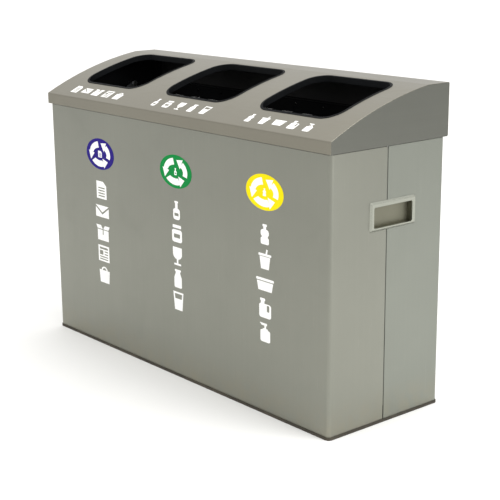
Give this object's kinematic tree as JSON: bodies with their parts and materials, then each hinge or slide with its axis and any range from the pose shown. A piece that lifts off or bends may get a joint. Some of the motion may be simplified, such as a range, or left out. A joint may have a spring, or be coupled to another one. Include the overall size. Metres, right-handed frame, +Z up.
{
  "type": "recycling bin station",
  "caption": "Stainless sheet cabinet with a hinged curved lid, rounded openings over lift-out buckets, side grips and round stream stickers.",
  "frame": {"origin": "on the floor under the middle of the cabinet", "axes": "+X along the length (to the right seen from the front), -Y towards the front, +Z up"},
  "size_m": [1.1, 0.36, 0.75],
  "materials": {
    "brushed_steel": "brushed, satin",
    "inner_steel": "mill finish",
    "inner_coat": "stoved black coat",
    "handle_steel": "satin",
    "pin_steel": "bright",
    "edge_rubber": "matte",
    "trim_rubber": "matte",
    "lining": "matte",
    "bucket_plastic": "moulded, fine grain",
    "bail_steel": "drawn wire",
    "grip_plastic": "moulded",
    "vinyl_blue": "vinyl film",
    "vinyl_green": "vinyl film",
    "vinyl_yellow": "vinyl film",
    "vinyl_white": "vinyl film"
  },
  "bodies": {
    "cabinet": {"base_edge_strip": "edge_rubber", "base_tray": "inner_coat", "body_hinge_leaf": "inner_steel", "body_hinge_rivets": "pin_steel", "divider_left": "inner_coat", "divider_right": "inner_coat", "feet": "edge_rubber", "foot_screws": "pin_steel", "front_shell": "brushed_steel", "glass_front_marks": "vinyl_white", "glass_sticker": "vinyl_green", "glass_sticker_arrows": "vinyl_white", "handle_frame_left": "handle_steel", "handle_frame_right": "handle_steel", "handle_pocket_left": "handle_steel", "handle_pocket_right": "handle_steel", "hinge_pin": "pin_steel", "lid_buffers": "edge_rubber", "lower_seam_strip_left": "inner_coat", "lower_seam_strip_right": "inner_coat", "paper_front_marks": "vinyl_white", "paper_sticker": "vinyl_blue", "paper_sticker_arrows": "vinyl_white", "plastic_front_marks": "vinyl_white", "plastic_sticker": "vinyl_yellow", "plastic_sticker_arrows": "vinyl_white", "rear_shell": "brushed_steel", "stay_guide_left": "inner_steel", "stay_guide_right": "inner_steel", "stay_guide_rivets": "pin_steel", "upper_seam_strip_left": "inner_coat", "upper_seam_strip_right": "inner_coat"},
    "lid": {"lid_top_sheet": "brushed_steel", "lid_end_left": "brushed_steel", "lid_end_right": "brushed_steel", "lid_front_stiffener": "inner_coat", "lid_lining": "lining", "lid_hinge_leaf": "inner_steel", "lid_hinge_rivets": "pin_steel", "lid_stay_studs": "pin_steel", "paper_opening_trim": "trim_rubber", "paper_lid_marks": "vinyl_white", "glass_opening_trim": "trim_rubber", "glass_lid_marks": "vinyl_white", "plastic_opening_trim": "trim_rubber", "plastic_lid_marks": "vinyl_white"},
    "stay_left": {"stay_arm_left": "inner_steel", "stay_pin_left": "pin_steel"},
    "stay_right": {"stay_arm_right": "inner_steel", "stay_pin_right": "pin_steel"},
    "paper_bucket": {"paper_bucket": "bucket_plastic"},
    "paper_bail": {"paper_bail": "bail_steel", "paper_bail_grip": "grip_plastic"},
    "glass_bucket": {"glass_bucket": "bucket_plastic"},
    "glass_bail": {"glass_bail": "bail_steel", "glass_bail_grip": "grip_plastic"},
    "plastic_bucket": {"plastic_bucket": "bucket_plastic"},
    "plastic_bail": {"plastic_bail": "bail_steel", "plastic_bail_grip": "grip_plastic"}
  },
  "joints": [
    {"name": "lid_hinge", "type": "hinge", "parent": "cabinet", "child": "lid", "pos_m": [0, 0.177, 0.628], "axis": [-1, 0, 0], "range_deg": [0, 95]},
    {"name": "stay_left_pivot", "type": "hinge", "parent": "lid", "child": "stay_left", "pos_m": [-0.53, 0.09, 0.662], "axis": [1, 0, 0], "range_deg": [0, 95]},
    {"name": "stay_right_pivot", "type": "hinge", "parent": "lid", "child": "stay_right", "pos_m": [0.53, 0.09, 0.662], "axis": [1, 0, 0], "range_deg": [0, 95]},
    {"name": "paper_bucket_lift", "type": "slide", "parent": "cabinet", "child": "paper_bucket", "axis": [0, 0, 1], "range_m": [0, 0.3]},
    {"name": "glass_bucket_lift", "type": "slide", "parent": "cabinet", "child": "glass_bucket", "axis": [0, 0, 1], "range_m": [0, 0.3]},
    {"name": "plastic_bucket_lift", "type": "slide", "parent": "cabinet", "child": "plastic_bucket", "axis": [0, 0, 1], "range_m": [0, 0.3]},
    {"name": "paper_bail_swing", "type": "hinge", "parent": "paper_bucket", "child": "paper_bail", "pos_m": [-0.355, 0, 0.544], "axis": [1, 0, 0], "range_deg": [0, 180]},
    {"name": "glass_bail_swing", "type": "hinge", "parent": "glass_bucket", "child": "glass_bail", "pos_m": [0, 0, 0.544], "axis": [1, 0, 0], "range_deg": [0, 180]},
    {"name": "plastic_bail_swing", "type": "hinge", "parent": "plastic_bucket", "child": "plastic_bail", "pos_m": [0.355, 0, 0.544], "axis": [1, 0, 0], "range_deg": [0, 180]}
  ],
  "couplings": [
    {"joint": "stay_left_pivot", "follows": "lid_hinge", "ratio": 1},
    {"joint": "stay_right_pivot", "follows": "lid_hinge", "ratio": 1},
    {"joint": "paper_bucket_lift", "follows": "lid_hinge", "m_per_rad": 0.18},
    {"joint": "glass_bucket_lift", "follows": "lid_hinge", "m_per_rad": 0.18},
    {"joint": "plastic_bucket_lift", "follows": "lid_hinge", "m_per_rad": 0.18}
  ]
}
